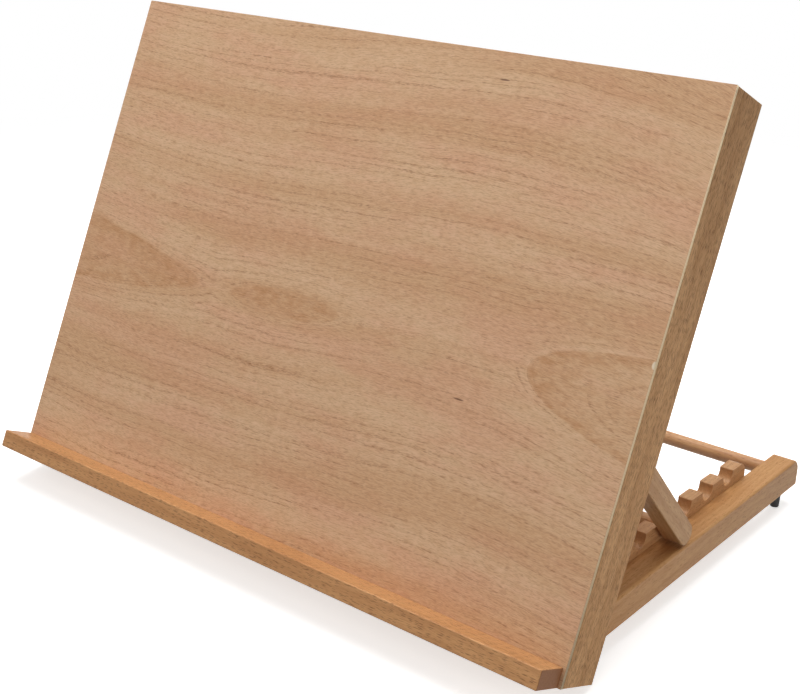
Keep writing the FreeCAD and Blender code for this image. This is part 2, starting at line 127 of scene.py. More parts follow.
def stations(length, radius):
    """How far along each section stands, and how far it is drawn in."""
    ends = [math.radians(90 * step / ROUND_STEPS) for step in range(ROUND_STEPS)]
    rising = [(radius * (1 - math.cos(a)), radius * (1 - math.sin(a))) for a in ends]
    count = max(2, int(length / STATION_SPACING))
    level = [(radius + (length - 2 * radius) * k / count, 0.0) for k in range(count + 1)]
    falling = [(length - along, inset) for along, inset in reversed(rising)]
    return rising + level + falling


print("sections along a stick of 440 mm:", len(stations(440 * MM, 1 * MM)))

# %% [markdown]
# ## From points to a piece
# Quads join each ring of points to the next, and one face closes each end. Flat shading would show
# every facet of the rounds, and plain smooth shading would make the flats look swollen. So every
# face is shaded smooth, with normals weighted by the size of the faces. The wide flats stay flat,
# and only the narrow rounds blend.

# %% Mesh helpers
def mesh_piece(name, shape, matrix=None):
    """A new object from a bmesh, smooth, with normals that keep the flats flat."""
    bmesh.ops.recalc_face_normals(shape, faces=shape.faces)
    for face in shape.faces:
        face.smooth = True
    mesh = bpy.data.meshes.new(name)
    shape.to_mesh(mesh)
    shape.free()
    piece = bpy.data.objects.new(name, mesh)
    bpy.context.scene.collection.objects.link(piece)
    piece.matrix_world = matrix or Matrix.Identity(4)
    flats = piece.modifiers.new("flat faces stay flat", "WEIGHTED_NORMAL")
    flats.keep_sharp = True
    return piece


def loft(shape, rings):
    """Quads between rings of points, and a face over each end."""
    loops = [[shape.verts.new(point) for point in ring] for ring in rings]
    for first, second in zip(loops, loops[1:]):
        for k in range(len(first)):
            after = (k + 1) % len(first)
            shape.faces.new((first[k], first[after], second[after], second[k]))
    shape.faces.new(list(reversed(loops[0])))
    shape.faces.new(loops[-1])


print("mesh helpers are ready:", mesh_piece.__name__, "and", loft.__name__)

# %% [markdown]
# ## One planed stick
# A stick is drawn between two corners on the bench, and its longest side becomes its length. The
# middle sections wander by a few hundredths of a millimetre, as planed wood does, so that long
# reflections aren't ruler straight. The wander is drawn from the stick's own name, which makes it
# the same every time.

# %% The planed stick
PLANE_WANDER = 0.04 * MM
SHARPEST_SHARE = 0.1


def planed_stick(name, low, high, radius):
    """A stick between two bench corners, planed along its longest side."""
    sizes = high - low
    length_axis = max(range(3), key=lambda axis: sizes[axis])
    first, second = [axis for axis in range(3) if axis != length_axis]
    chance = random.Random(name)
    shape = bmesh.new()
    rings = []
    for along, inset in stations(sizes[length_axis], radius):
        drift = [0.0, 0.0] if inset else [chance.uniform(-PLANE_WANDER, 0.0) for _ in range(2)]
        section = rounded_section(
            sizes[first] - 2 * inset + drift[0],
            sizes[second] - 2 * inset + drift[1],
            max(radius - inset, SHARPEST_SHARE * radius),
        )
        ring = []
        for a, b in section:
            point = Vector()
            point[length_axis] = low[length_axis] + along
            point[first] = (low[first] + high[first]) / 2 + a
            point[second] = (low[second] + high[second]) / 2 + b
            ring.append(point)
        rings.append(ring)
    loft(shape, rings)
    return mesh_piece(name, shape, on_board)


print("a planed stick wanders by up to", PLANE_WANDER / MM, "mm")

# %% [markdown]
# ## The five sticks of the board
# Behind the face there is a shallow frame: two side rails the full height of the board, a top rail
# and a bottom rail between them, and the ledge along the foot of the face. Each one stands for the
# frame's plain stick of the same place and size, so it is drawn between that stick's own corners.
# They ride on the board, so that they lean and rise with it.

# %% Make the sticks
stick_places = {
    "left_side_of_board": "board_side_rail_left",
    "right_side_of_board": "board_side_rail_right",
    "top_of_board": "board_top_rail",
    "foot_of_board": "board_bottom_rail",
    "ledge": "ledge_strip",
}
EDGE_ROUND = 0.8 * MM
LEDGE_ROUND = 1.2 * MM
sticks = {}
for stick_name, node in stick_places.items():
    low, high = corners_in(on_board, node)
    edge_round = LEDGE_ROUND if stick_name == "ledge" else EDGE_ROUND
    stick = planed_stick(stick_name, low, high, edge_round)
    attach(stick, "board")
    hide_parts(node)
    sticks[stick_name] = stick
    size = [round(value / MM, 1) for value in high - low]
    print(stick_name, "measures", size, "mm")

# %% [markdown]
# ## The face: a sheet of three plies
# The face is thin beech plywood. From the edge it is a sandwich: a leaf of veneer, a thicker core
# whose grain runs the other way, and a second leaf behind. The saw leaves the core a hair shorter
# than the leaves. One outline is drawn and repeated at each depth, a little smaller at the worn
# edges and at the core.

# %% Measures of the sheet
sheet_low, sheet_high = corners_in(on_board, "face_panel")
sheet_width = sheet_high.x - sheet_low.x
sheet_height = sheet_high.y - sheet_low.y
sheet_depth = sheet_high.z - sheet_low.z
leaf = 0.6 * MM
saw_step = 0.02 * MM
core_shortfall = 0.12 * MM
worn_rim = [(0.0, 0.30 * MM), (0.08 * MM, 0.10 * MM), (0.25 * MM, 0.0)]
chip_height = 237 * MM
chip_half_length = 3.2 * MM
chip_bite = 1.6 * MM
chip_depth = 0.7 * MM
print(f"the sheet is {sheet_width / MM:.0f} by {sheet_height / MM:.0f} by {sheet_depth / MM:.1f} mm")

# %% [markdown]
# ## The outline at one depth
# On the right edge a splinter of veneer has come away. A second shape could be cut out of the
# sheet, but such cuts leave ragged meshes. Extra points on the outline are cleaner: they step
# inwards at the face, and less and less with depth.

# %% The outline helper
def sheet_outline(depth, inset, bites):
    """The sheet's outline at one depth. The bites are (height, share of the bite) pairs."""
    left = sheet_low.x + inset
    right = sheet_high.x - inset
    low_y = sheet_low.y + inset
    high_y = sheet_high.y - inset
    z = sheet_high.z - depth
    share = max(0.0, 1 - depth / chip_depth)
    outline = [Vector((left, low_y, z)), Vector((right, low_y, z))]
    for height, bite in bites:
        outline.append(Vector((right - chip_bite * bite * share, height, z)))
    outline.append(Vector((right, high_y, z)))
    outline.append(Vector((left, high_y, z)))
    return outline


print("corners of the outline without the chip:", len(sheet_outline(0.0, 0.0, [])))

# %% [markdown]
# ## The chip, and the whole sheet
# A splinter tears out deepest in its middle and is ragged all along. Drawing it by hand would take
# nine careful points, so they are drawn by lot from a fixed seed instead. Then the outline is set at
# every depth, from the worn front rim through the leaf, the core and the back leaf to the worn rim
# behind.

# %% Make the sheet
splinter = random.Random("splinter")
chip_points = 9
raggedness = (0.55, 1.0)
chip_bites = []
for k in range(chip_points):
    spread = -1 + 2 * k / (chip_points - 1)
    ragged = splinter.uniform(*raggedness) if 0 < k < chip_points - 1 else 0.0
    chip_bites.append((chip_height + chip_half_length * spread, (1 - abs(spread)) ** 0.5 * ragged))

sheet_levels = worn_rim + [
    (leaf, 0.0),
    (leaf + saw_step, core_shortfall),
    (sheet_depth - leaf - saw_step, core_shortfall),
    (sheet_depth - leaf, 0.0),
]
sheet_levels += [(sheet_depth - depth, inset) for depth, inset in reversed(worn_rim)]

shape = bmesh.new()
loft(shape, [sheet_outline(depth, inset, chip_bites) for depth, inset in sheet_levels])
face_sheet = mesh_piece("veneered_face", shape, on_board)
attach(face_sheet, "board")
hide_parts("face_panel")
print("the sheet has", len(face_sheet.data.polygons), "faces")

# %% [markdown]
# ## Feeding nodes and doing sums
# A material in Blender is a little machine of nodes. Written out one by one they are hard to read,
# so each helper adds a node, feeds it and hands back its output. An input may be a plain value or
# another node's output, and the first helper takes care of both.

# %% Helpers for sums
def feed(tree, socket, value):
    """Links an output to a socket, or writes a plain value into it."""
    if isinstance(value, bpy.types.NodeSocket):
        tree.links.new(value, socket)
    else:
        socket.default_value = value


def reckon(tree, operation, *values, clamp=False):
    """One sum on numbers, such as ADD, MULTIPLY or SQRT."""
    made = tree.nodes.new("ShaderNodeMath")
    made.operation = operation
    made.use_clamp = clamp
    for socket, value in zip(made.inputs, values):
        feed(tree, socket, value)
    return made.outputs[0]


def times(tree, first, second):
    """Two numbers multiplied."""
    return reckon(tree, "MULTIPLY", first, second)


def rescale(tree, value, from_low, from_high, to_low=0.0, to_high=1.0):
    """Slides a number from one range to another, smoothly, and stops at the ends."""
    made = tree.nodes.new("ShaderNodeMapRange")
    made.interpolation_type = "SMOOTHSTEP"
    for socket, number in zip(made.inputs, (value, from_low, from_high, to_low, to_high)):
        feed(tree, socket, number)
    return made.outputs[0]


sum_tools = (feed, reckon, times, rescale)
print("helpers for sums are ready:", ", ".join(tool.__name__ for tool in sum_tools))

# %% [markdown]
# ## Places on a piece
# A material asks two things of a point: where it is on its piece, and which way the surface looks
# there. Unwrapping the piece is the usual way to place a pattern, but the place in space needs no
# unwrapping and shows no seams. It can be stretched and turned, taken apart into three numbers, and
# put together again. Stretching is what makes wood grain: noise squeezed across the grain is long
# along it.

# %% Helpers for places
def coordinates(tree):
    """The place on the piece, in its own frame, in metres, and the direction its surface looks."""
    made = tree.nodes.new("ShaderNodeTexCoord")
    return made.outputs["Object"], made.outputs["Normal"]


def stretched(tree, vector, scale, shift=(0, 0, 0), turn=(0, 0, 0)):
    """The same coordinates, stretched, turned and moved."""
    made = tree.nodes.new("ShaderNodeMapping")
    feed(tree, made.inputs["Vector"], vector)
    made.inputs["Location"].default_value = shift
    made.inputs["Rotation"].default_value = turn
    made.inputs["Scale"].default_value = scale
    return made.outputs[0]


def parts_of(tree, vector):
    """The three numbers of a vector."""
    made = tree.nodes.new("ShaderNodeSeparateXYZ")
    feed(tree, made.inputs[0], vector)
    return made.outputs


def joined(tree, *numbers):
    """Three numbers as one vector."""
    made = tree.nodes.new("ShaderNodeCombineXYZ")
    for socket, value in zip(made.inputs, numbers):
        feed(tree, socket, value)
    return made.outputs[0]


place_tools = (coordinates, stretched, parts_of, joined)
print("helpers for places are ready:", ", ".join(tool.__name__ for tool in place_tools))

# %% [markdown]
# ## Clouds and dashes
# Wood has tones that come and go, and small marks that repeat but never in a row. A cloud is soft
# noise, for the tones. Noise with a hard threshold could make the marks too, but their size would be
# left to chance. So a dash is the heart of one cell of a Voronoi pattern, squeezed thin, and a lot
# drawn for each cell decides whether it has a dash at all.

# %% Helpers for patterns
def cloud(tree, vector, detail=2.0, roughness=0.5):
    """Soft noise, mostly between 0.3 and 0.7, one lump for each unit of the vector."""
    made = tree.nodes.new("ShaderNodeTexNoise")
    feed(tree, made.inputs["Vector"], vector)
    made.inputs["Scale"].default_value = 1.0
    made.inputs["Detail"].default_value = detail
    made.inputs["Roughness"].default_value = roughness
    return made.outputs[0]


DASH_REACH = 0.42
DASH_SOFTNESS = 0.25


def dashes(tree, vector, length, width, share):
    """Short dashes along X: 1 in a dash, 0 between them. The share says how many cells have one."""
    made = tree.nodes.new("ShaderNodeTexVoronoi")
    cells = stretched(tree, vector, (1 / length, 1 / width, 1 / width))
    feed(tree, made.inputs["Vector"], cells)
    made.inputs["Scale"].default_value = 1.0
    made.inputs["Randomness"].default_value = 1.0
    near = rescale(tree, made.outputs["Distance"], DASH_REACH, DASH_REACH - DASH_SOFTNESS)
    lot = parts_of(tree, made.outputs["Color"])[0]
    chosen = rescale(tree, lot, 1 - share, 1 - 0.6 * share)
    return times(tree, near, chosen)


def two_sizes_of_dash(tree, grain, first_size, second_size, shift, share):
    """Dashes of two sizes laid over each other, the second a little weaker."""
    first = dashes(tree, grain, *first_size, share)
    second = dashes(tree, stretched(tree, grain, (1, 1, 1), shift=shift), *second_size, share)
    return reckon(tree, "MAXIMUM", first, times(tree, second, 0.8))


pattern_tools = (cloud, dashes, two_sizes_of_dash)
print("helpers for patterns are ready:", ", ".join(tool.__name__ for tool in pattern_tools))

# %% [markdown]
# ## Colours
# A colour is named here as a paint chart gives it, three numbers from 0 to 255. Shaders count light
# instead, so the numbers are bent onto that scale first. Two colours are mixed by a share, and the
# share can be a pattern.

# %% Helpers for colours
def mixed(tree, share, first, second):
    """Two colours mixed by a share."""
    made = tree.nodes.new("ShaderNodeMix")
    made.data_type = "RGBA"
    feed(tree, made.inputs[0], share)
    feed(tree, made.inputs[6], first)
    feed(tree, made.inputs[7], second)
    return made.outputs[2]


def tint(red, green, blue):
    """A colour as a paint chart gives it, 0 to 255, in the linear values that shaders use."""
    def linear(value):
        share = value / 255
        return share / 12.92 if share <= 0.04045 else ((share + 0.055) / 1.055) ** 2.4
    return (linear(red), linear(green), linear(blue), 1.0)


print("a middling beech as light:", [round(value, 3) for value in tint(200, 155, 110)])

# %% [markdown]
# ## A fresh material, its relief and its worn edges
# Each material starts as one shader wired to its output. Grooves cut into the mesh would need
# millions of faces, so relief only tilts the light, as if the surface had a real depth in metres.
# Worn edges could be painted by hand. Here they are found by comparing the true direction of the
# surface with a rounded one: where the two differ, there is an edge.

# %% Helpers for surfaces
def new_material(name):
    """An empty material with a shader wired to its output."""
    material = bpy.data.materials.new(name)
    material.use_nodes = True
    tree = material.node_tree
    tree.nodes.clear()
    shader = tree.nodes.new("ShaderNodeBsdfPrincipled")
    output = tree.nodes.new("ShaderNodeOutputMaterial")
    tree.links.new(shader.outputs[0], output.inputs["Surface"])
    return material, tree, shader


def relief(tree, shader, height, depth, strength):
    """A bump of a real depth in metres."""
    made = tree.nodes.new("ShaderNodeBump")
    made.inputs["Strength"].default_value = strength
    made.inputs["Distance"].default_value = depth
    feed(tree, made.inputs["Height"], height)
    tree.links.new(made.outputs[0], shader.inputs["Normal"])


def worn_edges(tree, radius):
    """1 on a sharp edge, fading to 0 within the radius."""
    rounded = tree.nodes.new("ShaderNodeBevel")
    rounded.samples = 4
    rounded.inputs["Radius"].default_value = radius
    flat = tree.nodes.new("ShaderNodeNewGeometry")
    compare = tree.nodes.new("ShaderNodeVectorMath")
    compare.operation = "DOT_PRODUCT"
    tree.links.new(rounded.outputs[0], compare.inputs[0])
    tree.links.new(flat.outputs["Normal"], compare.inputs[1])
    return rescale(tree, compare.outputs["Value"], 0.995, 0.80)


surface_tools = (new_material, relief, worn_edges)
print("helpers for surfaces are ready:", ", ".join(tool.__name__ for tool in surface_tools))

# %% [markdown]
# ## Beech as it stood in the log
# Beech is a close, even wood with soft year rings. A flat noise stretched over the surface would
# turn into streaks on the ends of a stick. So the wood is worked out in space, as if the stick was
# cut from a log: a ring is a distance from the log's heart, and noise lets the rings wander. A long
# face then shows lines, and a sawn end shows arcs, with no extra work.

# %% Year rings in space
RING = 4.2 * MM
HEART_ASIDE = 47 * MM
HEART_BELOW = 81 * MM
RING_WANDER = 16 * MM


def year_rings(tree, grain):
    """1 in the dark wood that ends a year, 0 in the pale wood that starts one."""
    wander = cloud(tree, stretched(tree, grain, (6, 28, 28)), 3.0)
    _, side, up = parts_of(tree, grain)
    aside = reckon(tree, "POWER", reckon(tree, "ADD", side, HEART_ASIDE), 2.0)
    below = reckon(tree, "POWER", reckon(tree, "ADD", up, HEART_BELOW), 2.0)
    straight = reckon(tree, "SQRT", reckon(tree, "ADD", aside, below))
    from_heart = reckon(tree, "MULTIPLY_ADD", wander, RING_WANDER, straight)
    year = reckon(tree, "FRACT", reckon(tree, "DIVIDE", from_heart, RING))
    return times(tree, rescale(tree, year, 0.15, 0.9), rescale(tree, year, 1.0, 0.93))


print(f"a year of solid beech is {RING / MM:.1f} mm wide")

# %% [markdown]
# ## One recipe for every solid stick
# What gives beech away is a scatter of short dark dashes, the rays, that all lie along the grain.
# They are small spindles in space too: dashes on a long face, dots on a sawn end. The recipe lays
# rings, soft patches, fibre and rays over each other, gives a sawn end its own tone, and lets worn
# edges pale a little. On most sticks that end tone is the darker end grain, and on the rails of the
# base it is a pale painted highlight. Rays are also a touch duller and deeper than the wood round them.

# %% The beech recipe
QUARTER = math.radians(90)
ALONG_X = (0.0, 0.0, 0.0)
ALONG_Y = (0.0, 0.0, -QUARTER)
RAY_SIZE = (6 * MM, 0.6 * MM)
LONG_RAY_SIZE = (9 * MM, 0.9 * MM)
LONG_RAY_SHIFT = (0.37, 0.11, 0.23)
RING_TONE_SHARE = 0.3025
PATCH_TONE_SHARE = 0.45
FIBRE_TONE_SHARE = 0.5
RAY_TONE_SHARE = 0.7
WORN_TONE_SHARE = 0.25
WORN_RADIUS = 1.2 * MM
FIBRE_DULLS, RAY_DULLS, END_DULLS = 0.18, 0.12, 0.15
RAY_GROOVE = -0.4
GRAIN_RELIEF = 0.09 * MM


def beech(name, turn, pale, deep, ray, dullness=0.48, rays=0.5, shine=0.3, end=None, end_share=0.45):
    """Beech whose grain is turned to lie along the stick."""
    material, tree, shader = new_material(name)
    shader.inputs["Specular IOR Level"].default_value = shine
    place, looks = coordinates(tree)
    grain = stretched(tree, place, (1, 1, 1), turn=turn)
    looks_along = parts_of(tree, stretched(tree, looks, (1, 1, 1), turn=turn))[0]
    sawn_end = rescale(tree, reckon(tree, "ABSOLUTE", looks_along), 0.6, 0.9)

    patches = cloud(tree, stretched(tree, grain, (9, 60, 60), shift=(3.1, 0.7, 1.9)), 3.0, 0.6)
    fibre = cloud(tree, stretched(tree, grain, (130, 1100, 1100)), 3.0, 0.65)
    all_rays = two_sizes_of_dash(tree, grain, RAY_SIZE, LONG_RAY_SIZE, LONG_RAY_SHIFT, rays)

    patch_tone = rescale(tree, patches, 0.36, 0.66, 0.0, PATCH_TONE_SHARE)
    tone = reckon(tree, "MULTIPLY_ADD", year_rings(tree, grain), RING_TONE_SHARE, patch_tone)
    colour = mixed(tree, tone, pale, deep)
    colour = mixed(tree, rescale(tree, fibre, 0.46, 0.64, 0.0, FIBRE_TONE_SHARE), colour, deep)
    colour = mixed(tree, times(tree, all_rays, RAY_TONE_SHARE), colour, ray)
    # A sawn end takes the end tone: darker end grain on most sticks, a pale painted highlight on the base rails.
    colour = mixed(tree, times(tree, sawn_end, end_share), colour, end or deep)
    worn = worn_edges(tree, WORN_RADIUS)
    colour = mixed(tree, times(tree, worn, WORN_TONE_SHARE), colour, pale)
    tree.links.new(colour, shader.inputs["Base Color"])

    rough = reckon(tree, "MULTIPLY_ADD", fibre, FIBRE_DULLS, dullness - FIBRE_DULLS / 2)
    rough = reckon(tree, "MULTIPLY_ADD", all_rays, RAY_DULLS, rough)
    rough = reckon(tree, "MULTIPLY_ADD", sawn_end, END_DULLS, rough, clamp=True)
    tree.links.new(rough, shader.inputs["Roughness"])

    grooves = reckon(tree, "MULTIPLY_ADD", all_rays, RAY_GROOVE, fibre)
    relief(tree, shader, grooves, GRAIN_RELIEF, 0.7)
    return material


print("the recipe mixes rays of", [round(size / MM, 1) for size in RAY_SIZE + LONG_RAY_SIZE], "mm")

# %% [markdown]
# ## The sticks differ a little
# The sticks of one easel come from different boards. One beech for all of them would be quicker, but
# it would look moulded. The side rails are full of dark rays, the ledge is warmer and its sawn ends
# are dark, and the rails of the base are calm. Their sawn ends are made pale, a painted highlight
# where light catches them. The three tones of each wood are its pale wood, its deep wood and its rays.

# %% Mix the beeches
side_beech = beech("side rail beech", ALONG_Y, tint(210, 164, 117), tint(172, 125, 80),
                   tint(62, 30, 12), dullness=0.62, rays=0.95, shine=0.12)
cross_beech = beech("cross rail beech", ALONG_X, tint(200, 158, 120), tint(166, 122, 84),
                    tint(104, 68, 42))
ledge_beech = beech("ledge beech", ALONG_X, tint(206, 154, 104), tint(178, 124, 78),
                    tint(84, 40, 16), dullness=0.40, rays=0.55, shine=0.25,
                    end=tint(118, 70, 34), end_share=0.85)
# The pale end tone of the base rails is a painted highlight where light catches their sawn ends, not the wood's
# own colour.
base_beech = beech("base rail beech", ALONG_Y, tint(198, 150, 99), tint(174, 121, 71),
                   tint(128, 80, 44), dullness=0.44, rays=0.15, shine=0.12,
                   end=tint(226, 192, 154), end_share=0.55)
base_cross_beech = beech("base cross beech", ALONG_X, tint(204, 156, 105), tint(178, 125, 75),
                         tint(128, 80, 44), dullness=0.44, rays=0.15, shine=0.12)
ratchet_beech = beech("notched strip beech", ALONG_Y, tint(202, 155, 108), tint(174, 121, 76),
                      tint(112, 68, 36), dullness=0.42, rays=0.25)
dowel_beech = beech("dowel beech", ALONG_X, tint(216, 170, 126), tint(190, 134, 90),
                    tint(142, 92, 60), dullness=0.40, rays=0.15)
solid_beeches = (side_beech, cross_beech, ledge_beech, base_beech, base_cross_beech,
                 ratchet_beech, dowel_beech)
print("solid beeches mixed:", ", ".join(wood.name for wood in solid_beeches))

# %% [markdown]
# ## Beech on the slanting legs
# The two legs of the prop slant from their screws down to the bar. Their grain has to slant with
# them, so the turn of their wood is read from the line between the swing joint and the bar.

# %% The legs' wood
swing = next(joint for joint in frame["joints"] if joint["name"] == "prop_swing")
pivot = Vector(swing["pos_m"])
bar_low, bar_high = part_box("prop_bar")
bar_middle = (bar_low + bar_high) / 2
leg_slope = math.atan2(bar_middle.z - pivot.z, bar_middle.y - pivot.y)
leg_beech = beech("leg beech", (-leg_slope, 0.0, -QUARTER), tint(194, 152, 107),
                  tint(166, 118, 71), tint(108, 68, 36), rays=0.15, shine=0.2)
print(f"the legs slope {math.degrees(leg_slope):.1f} degrees")

# %% [markdown]
# ## The figure of the face
# The veneer was sliced flat from a log, so its year rings show as long lines that open into flames
# at the left and right edges, with a closed eye between them. An image would be the quick way, but
# the same figure can be reckoned. Let v be the height above the line through the flames, and let w
# be half the opening of a flame at that place along the board. Then the square root of v squared
# less w squared is the same all along one ring: far from the flames it is v itself, so the lines
# run level, and near a flame they bend round it. Where it would be the root of a negative number,
# the place is inside a flame or the eye.

# %% Measures of the figure
flame_line = 204 * MM
flame_sway = 6 * MM
flame_sway_length = 640 * MM
right_tip, right_half_opening = 202 * MM, 40 * MM
left_tip, left_half_opening = -143 * MM, 31 * MM
eye_middle, eye_half_length, eye_half_height = -42 * MM, 62 * MM, 12 * MM
half_face = sheet_width / 2
right_growth = right_half_opening ** 2 / (half_face - right_tip)
left_growth = left_half_opening ** 2 / (half_face + left_tip)
ring_spacing = 6.8 * MM
print(f"a ring every {ring_spacing / MM:.1f} mm, flames up to {2 * right_half_opening / MM:.0f} mm wide")

# %% [markdown]
# ## Where each grain line lies
# Every sum starts from the place on the sheet: x runs across it and u runs up it. The leaf on the
# back of the sheet was cut further up the log, so its u is moved on and it gets a figure of its own.
# No grain line is straight, so v is then bent three times: by slow bends, by a swell the width of
# a hand, and by a quick tremble. The lines above the right flame also close in on each other
# towards the top right corner.

# %% The bent lines
back_leaf_shift = 310 * MM
closing_start = 100 * MM
closing_rate = 2.8
wanders = (
    {"reach": 7 * MM, "stretch": (2.2, 7, 1), "shift": (0.4, 0.9, 0), "detail": 2.0, "rough": 0.5},
    {"reach": 7 * MM, "stretch": (8, 20, 1), "shift": (5.2, 2.8, 0), "detail": 2.0, "rough": 0.5},
    {"reach": 2.6 * MM, "stretch": (34, 120, 1), "shift": (2.3, 5.1, 0), "detail": 3.0, "rough": 0.6},
)

veneer, tree, shader = new_material("sliced beech veneer")
shader.inputs["Specular IOR Level"].default_value = 0.3
place, looks = coordinates(tree)
x, u, above = parts_of(tree, place)
looks_out = parts_of(tree, looks)[2]
faces_back = rescale(tree, looks_out, -0.3, -0.7)
u = reckon(tree, "MULTIPLY_ADD", faces_back, back_leaf_shift, u)
place = joined(tree, x, u, above)

sway = reckon(tree, "SINE", times(tree, x, 2 * math.pi / flame_sway_length))
middle_line = reckon(tree, "MULTIPLY_ADD", sway, flame_sway, flame_line)
v = reckon(tree, "SUBTRACT", u, middle_line)
for wander in wanders:
    soft = stretched(tree, place, wander["stretch"], shift=wander["shift"])
    bend = reckon(tree, "SUBTRACT", cloud(tree, soft, wander["detail"], wander["rough"]), 0.5)
    v = reckon(tree, "MULTIPLY_ADD", bend, wander["reach"], v)

beyond = reckon(tree, "MAXIMUM", reckon(tree, "SUBTRACT", x, closing_start), 0.0)
closing = times(tree, reckon(tree, "POWER", beyond, 2.0), closing_rate)
v = reckon(tree, "MULTIPLY_ADD", reckon(tree, "MAXIMUM", v, 0.0), closing, v)
print("the lines are bent by", len(wanders), "sizes of noise")

# %% [markdown]
# ## Rings round the flames and the eye
# The square of w is worked out for each flame and for the eye, and the widest opening wins at each
# place. The change from one to the next is a soft one. Where all three are closed the square stays
# a little below zero, so the rings there stand wider apart. The sign is kept when the root is
# taken: a ring's height is above zero outside an opening and below zero inside it.

# %% Height of each ring
soft_join = 60 * MM * MM
all_closed = -180 * MM * MM
from_right_tip = reckon(tree, "SUBTRACT", x, right_tip)
from_left_tip = reckon(tree, "SUBTRACT", left_tip, x)
along_eye = reckon(tree, "DIVIDE", reckon(tree, "SUBTRACT", x, eye_middle), eye_half_length)
eye_square = reckon(tree, "POWER", reckon(tree, "ABSOLUTE", along_eye), 2.0)
eye = reckon(tree, "MULTIPLY_ADD", eye_square, -eye_half_height ** 2, eye_half_height ** 2)
opening = times(tree, from_right_tip, right_growth)
for other in (times(tree, from_left_tip, left_growth), eye, all_closed):
    opening = reckon(tree, "SMOOTH_MAX", opening, other, soft_join)

squared = reckon(tree, "SUBTRACT", times(tree, v, v), opening)
root = reckon(tree, "SQRT", reckon(tree, "ABSOLUTE", squared))
ring_height = times(tree, reckon(tree, "SIGN", squared), root)
inside = rescale(tree, ring_height, 3 * MM, -9 * MM)
deep_inside = rescale(tree, ring_height, -8 * MM, -34 * MM)
print(f"the closed eye is {2 * eye_half_length / MM:.0f} by {2 * eye_half_height / MM:.0f} mm")

# %% [markdown]
# ## Year lines and soft bands
# The rings are counted off from their height, and each year ends in a thin dark line. Noise that
# runs along the rings makes some years wide and some narrow, lets a line fade and come back, and
# lays broad soft bands between them. The rings above and below the middle line get different
# noise, or the two halves of the board would mirror each other.

# %% Lines and bands
half_apart = 3.7
year_wander = 2.2
above_line = rescale(tree, v, -2 * MM, 2 * MM)
side_of_line = reckon(tree, "MULTIPLY_ADD", above_line, half_apart, ring_height)


def along_rings(stretch_along, stretch_across, lot):
    """Soft noise that runs along the rings. Each lot gives another cloud."""
    along = times(tree, x, stretch_along)
    return cloud(tree, joined(tree, along, times(tree, side_of_line, stretch_across), lot))


counted = reckon(tree, "DIVIDE", ring_height, ring_spacing)
years = reckon(tree, "MULTIPLY_ADD", along_rings(1.2, 75.0, 0.0), year_wander, counted)
year = reckon(tree, "FRACT", years)
line = times(tree, rescale(tree, year, 0.62, 0.95), rescale(tree, year, 1.0, 0.96))
line_strength = rescale(tree, along_rings(5.0, 55.0, 3.0), 0.38, 0.62)
line = times(tree, line, reckon(tree, "MULTIPLY_ADD", line_strength, 0.85, 0.15))
band = along_rings(2.0, 26.0, 7.0)
print(f"about {sheet_height / ring_spacing:.0f} rings cross the sheet from foot to top")

# %% [markdown]
# ## Rays, fibre, blush and mottle
# Close up, the veneer has the same short rays as the sticks, and a fine fibre. Both follow the bent
# lines. Over them lie two things that ignore the lines: a pink blush in broad clouds, and a small
# mottle.

# %% Patterns of the veneer
veneer_ray_size = (6.5 * MM, 0.7 * MM)
veneer_short_ray_size = (4.0 * MM, 0.6 * MM)
with_grain = joined(tree, x, v, 0.0)
all_dashes = two_sizes_of_dash(tree, with_grain, veneer_ray_size, veneer_short_ray_size,
                               (0.31, 0.17, 0), 0.95)
fibre = cloud(tree, stretched(tree, with_grain, (130, 1050, 1)), 3.0, 0.65)
blush_cloud = cloud(tree, stretched(tree, place, (7, 24, 1), shift=(4.4, 1.3, 0)), 3.0, 0.6)
blush = rescale(tree, blush_cloud, 0.40, 0.66)
mottle_cloud = cloud(tree, stretched(tree, place, (60, 150, 1), shift=(1.4, 9.3, 0)), 2.0, 0.6)
mottle = rescale(tree, mottle_cloud, 0.35, 0.7)
print("the rays of the veneer are", [round(size / MM, 1) for size in veneer_ray_size], "mm")

# %% [markdown]
# ## Tones, from the broadest to the finest
# One ramp of colours could tone the whole sheet, but then every pattern would have the same hue. So
# the tones are laid on like glazes. First comes the pink blush on the plain wood, then the soft
# bands, the mottle and the flames. The year lines, the fibre and the rays go over them, and fibre
# and rays are stronger on a year line, as they are in the wood.

# %% Tones of the veneer
blush_share, mottle_share, line_share = 0.8, 0.18, 0.18
plain_tone = tint(217, 180, 143)
pink_tone = tint(216, 168, 135)
ring_tone = tint(166, 116, 76)
flame_tone = tint(190, 138, 92)
ray_tone = tint(136, 88, 55)
pale_fibre_tone = tint(226, 190, 154)
colour = mixed(tree, times(tree, blush, blush_share), plain_tone, pink_tone)
colour = mixed(tree, rescale(tree, band, 0.42, 0.64, 0.0, 0.36), colour, flame_tone)
colour = mixed(tree, times(tree, mottle, mottle_share), colour, flame_tone)
flame_share = times(tree, inside, rescale(tree, deep_inside, 0.0, 1.0, 0.62, 0.2))
flame_share = times(tree, flame_share, rescale(tree, mottle, 0.0, 1.0, 0.7, 1.2))
colour = mixed(tree, flame_share, colour, flame_tone)
colour = mixed(tree, times(tree, line, line_share), colour, ring_tone)
fibre_share = reckon(tree, "MULTIPLY_ADD", line, 0.42, 0.30)
colour = mixed(tree, times(tree, rescale(tree, fibre, 0.46, 0.66), fibre_share), colour, ring_tone)
colour = mixed(tree, rescale(tree, fibre, 0.47, 0.34, 0.0, 0.3), colour, pale_fibre_tone)
dash_share = reckon(tree, "MULTIPLY_ADD", line, 0.4, 0.28)
colour = mixed(tree, times(tree, all_dashes, dash_share), colour, ray_tone)
print("the veneer has", len(tree.nodes), "nodes so far")

# %% [markdown]
# ## Small faults of the face
# Two dark specks and a chip that shows the pale core make the sheet a real one. Scattering faults by
# noise would put them anywhere, and these have a place. So each is a distance from that place,
# turned into a mask.

